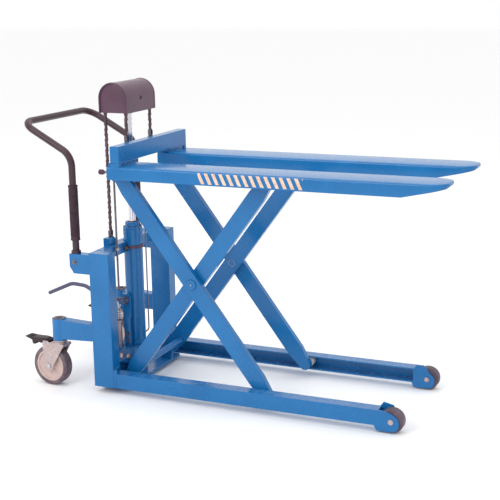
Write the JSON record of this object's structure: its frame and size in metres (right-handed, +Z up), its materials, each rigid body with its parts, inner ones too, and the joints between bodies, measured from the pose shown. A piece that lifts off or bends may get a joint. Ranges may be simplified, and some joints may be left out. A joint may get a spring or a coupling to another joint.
{
  "type": "scissor lift table truck",
  "caption": "Blue manual hydraulic scissor lift truck, forks raised, with foot pump, chain-lifted fork carriage, swivel casters, load rollers and a U-shaped push handle.",
  "frame": {"origin": "on the floor under the middle of the overall length and width, forks raised", "axes": "+X towards the fork tips, +Y to the left of a person pushing it, +Z up"},
  "size_m": [1.6021, 0.5135, 1.114],
  "materials": {
    "blue_paint": "gloss enamel over welded steel",
    "dark_paint": "satin dark enamel",
    "grip_rubber": "matt moulded sleeve",
    "black_oxide": "oiled dark steel",
    "chrome": "hard chrome, polished",
    "zinc": "zinc plated",
    "steel": "turned steel, greased",
    "nylon_dark": "dark cast tread",
    "nylon_white": "turned nylon",
    "tyre_rubber": "solid rubber",
    "hub_plastic": "moulded hub",
    "pedal_black": "moulded pedal"
  },
  "bodies": {
    "base": {"leg_r": "blue_paint", "leg_l": "blue_paint", "column_r": "blue_paint", "column_l": "blue_paint", "caster_arm_r": "blue_paint", "caster_arm_l": "blue_paint", "handle_bracket_r": "blue_paint", "handle_bracket_l": "blue_paint", "grip_r": "grip_rubber", "grip_l": "grip_rubber", "chain_anchor_r": "blue_paint", "chain_anchor_l": "blue_paint", "strand_rear_r": "black_oxide", "strand_rear_l": "black_oxide", "crossbar_top": "blue_paint", "base_plate": "blue_paint", "push_handle": "dark_paint", "cylinder_barrel": "blue_paint", "gland_nut": "blue_paint", "clamp_band": "dark_paint", "valve_block": "blue_paint", "pump_barrel": "zinc", "pump_bracket": "blue_paint", "pump_spring": "zinc"},
    "arm_b": {"arm_b_r": "blue_paint", "arm_b_l": "blue_paint", "centre_pin_r": "blue_paint", "centre_pin_l": "blue_paint", "tie_tube": "blue_paint"},
    "arm_a": {"arm_a_r": "blue_paint", "arm_a_l": "blue_paint"},
    "carriage": {"fork_r": "blue_paint", "fork_l": "blue_paint", "backrest": "blue_paint"},
    "piston": {"piston_rod": "chrome", "crosshead": "dark_paint", "chain_cover": "dark_paint", "strand_front_r": "black_oxide", "strand_front_l": "black_oxide"},
    "chain_wheels": {"chain_wheel_r": "black_oxide", "chain_wheel_l": "black_oxide"},
    "foot_pedal": {"foot_pedal": "dark_paint"},
    "pump_plunger": {"pump_plunger": "chrome"},
    "release_rod": {"release_rod": "black_oxide"},
    "roller_a_r": {"roller_a_r": "nylon_white"},
    "roller_b_r": {"roller_b_r": "steel"},
    "load_roller_r": {"load_roller_r": "nylon_dark"},
    "caster_r": {"caster_yoke_r": "zinc"},
    "caster_wheel_r": {"caster_tyre_r": "tyre_rubber", "caster_hub_r": "hub_plastic"},
    "caster_brake_r": {"caster_brake_r": "pedal_black"},
    "roller_a_l": {"roller_a_l": "nylon_white"},
    "roller_b_l": {"roller_b_l": "steel"},
    "load_roller_l": {"load_roller_l": "nylon_dark"},
    "caster_l": {"caster_yoke_l": "zinc"},
    "caster_wheel_l": {"caster_tyre_l": "tyre_rubber", "caster_hub_l": "hub_plastic"},
    "caster_brake_l": {"caster_brake_l": "pedal_black"}
  },
  "joints": [
    {"name": "lift", "type": "hinge", "parent": "base", "child": "arm_b", "pos_m": [-0.394, 0, 0.05], "axis": [0, 1, 0], "range_deg": [0, 52.5], "deforming": ["strand_rear_r", "strand_rear_l"]},
    {"name": "arm_cross", "type": "hinge", "parent": "arm_b", "child": "arm_a", "pos_m": [-0.114, 0, 0.425], "axis": [0, 1, 0], "range_deg": [-105, 0]},
    {"name": "carriage_level", "type": "hinge", "parent": "arm_a", "child": "carriage", "pos_m": [-0.394, 0, 0.8], "axis": [0, 1, 0], "range_deg": [0, 52.5]},
    {"name": "piston_slide", "type": "slide", "parent": "carriage", "child": "piston", "axis": [0, 0, 1], "range_m": [0, 0.36905], "deforming": ["strand_front_r", "strand_front_l"]},
    {"name": "chain_wheel_turn", "type": "hinge", "parent": "piston", "child": "chain_wheels", "pos_m": [-0.452, 0, 1.058], "axis": [0, 1, 0], "range_deg": [0, 504]},
    {"name": "pedal_press", "type": "hinge", "parent": "base", "child": "foot_pedal", "pos_m": [-0.463, -0.062, 0.3], "axis": [0, -1, 0], "range_deg": [0, 35], "stiffness_Nm_per_rad": 3, "springref_deg": -40.11},
    {"name": "plunger_slide", "type": "slide", "parent": "base", "child": "pump_plunger", "axis": [0, 0, 1], "range_m": [-0.0254, 0], "deforming": ["pump_spring"]},
    {"name": "release_pull", "type": "slide", "parent": "base", "child": "release_rod", "axis": [0, 0, 1], "range_m": [-0.01, 0], "stiffness_N_per_m": 400, "springref_m": 0.012},
    {"name": "roller_a_spin_r", "type": "hinge", "parent": "arm_a", "child": "roller_a_r", "pos_m": [0.166, -0.223, 0.05], "axis": [0, 1, 0], "continuous": true},
    {"name": "roller_b_spin_r", "type": "hinge", "parent": "arm_b", "child": "roller_b_r", "pos_m": [0.166, -0.1335, 0.8], "axis": [0, 1, 0], "continuous": true},
    {"name": "load_roller_spin_r", "type": "hinge", "parent": "base", "child": "load_roller_r", "pos_m": [0.629, -0.223, 0.041], "axis": [0, 1, 0], "continuous": true},
    {"name": "caster_swivel_r", "type": "hinge", "parent": "base", "child": "caster_r", "pos_m": [-0.647, -0.226, 0.17], "axis": [0, 0, 1], "continuous": true},
    {"name": "caster_roll_r", "type": "hinge", "parent": "caster_r", "child": "caster_wheel_r", "pos_m": [-0.6869, -0.22321, 0.075], "axis": [0.0698, 0.9976, 0], "continuous": true},
    {"name": "caster_brake_press_r", "type": "hinge", "parent": "caster_r", "child": "caster_brake_r", "pos_m": [-0.70187, -0.22216, 0.163], "axis": [-0.0698, -0.9976, 0], "range_deg": [0, 10]},
    {"name": "roller_a_spin_l", "type": "hinge", "parent": "arm_a", "child": "roller_a_l", "pos_m": [0.166, 0.223, 0.05], "axis": [0, 1, 0], "continuous": true},
    {"name": "roller_b_spin_l", "type": "hinge", "parent": "arm_b", "child": "roller_b_l", "pos_m": [0.166, 0.1335, 0.8], "axis": [0, 1, 0], "continuous": true},
    {"name": "load_roller_spin_l", "type": "hinge", "parent": "base", "child": "load_roller_l", "pos_m": [0.629, 0.223, 0.041], "axis": [0, 1, 0], "continuous": true},
    {"name": "caster_swivel_l", "type": "hinge", "parent": "base", "child": "caster_l", "pos_m": [-0.647, 0.226, 0.17], "axis": [0, 0, 1], "continuous": true},
    {"name": "caster_roll_l", "type": "hinge", "parent": "caster_l", "child": "caster_wheel_l", "pos_m": [-0.687, 0.226, 0.075], "axis": [0, 1, 0], "continuous": true},
    {"name": "caster_brake_press_l", "type": "hinge", "parent": "caster_l", "child": "caster_brake_l", "pos_m": [-0.702, 0.226, 0.163], "axis": [0, -1, 0], "range_deg": [0, 10]}
  ],
  "couplings": [
    {"joint": "arm_cross", "follows": "lift", "ratio": -2},
    {"joint": "carriage_level", "follows": "lift", "ratio": 1},
    {"joint": "piston_slide", "follows": "lift", "m_per_rad": 0.40255},
    {"joint": "chain_wheel_turn", "follows": "lift", "ratio": 9.5844},
    {"joint": "plunger_slide", "follows": "pedal_press", "m_per_rad": -0.0415}
  ]
}
